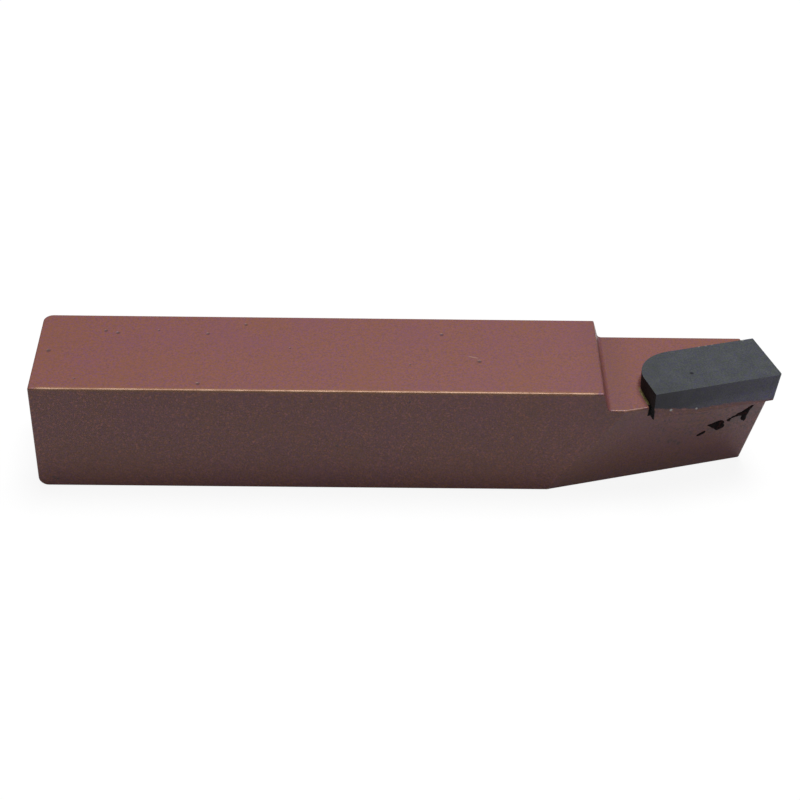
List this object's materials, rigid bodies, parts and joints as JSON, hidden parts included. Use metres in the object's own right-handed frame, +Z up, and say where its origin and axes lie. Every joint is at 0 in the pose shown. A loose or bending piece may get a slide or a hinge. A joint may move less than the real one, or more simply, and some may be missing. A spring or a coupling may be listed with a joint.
{
  "type": "brazed carbide tool bit",
  "caption": "Left-hand turning tool: a square steel shank with a stepped, angled head and a carbide tip brazed into its seat.",
  "frame": {"origin": "on the base face of the shank, at mid-length of the tool and mid-width of the shank", "axes": "+X runs along the shank from the rear end to the cutting nose, +Y to the side away from the side cutting edge, +Z up through the top face"},
  "size_m": [0.1142, 0.019, 0.0191],
  "materials": {
    "painted_steel": "satin copper-brown paint with a fine metallic speckle",
    "carbide": "matt grey sintered carbide",
    "braze": "dull silver braze, mostly painted over"
  },
  "bodies": {
    "root": {"shank": "painted_steel", "carbide_tip": "carbide", "braze_joint": "braze"}
  },
  "joints": []
}
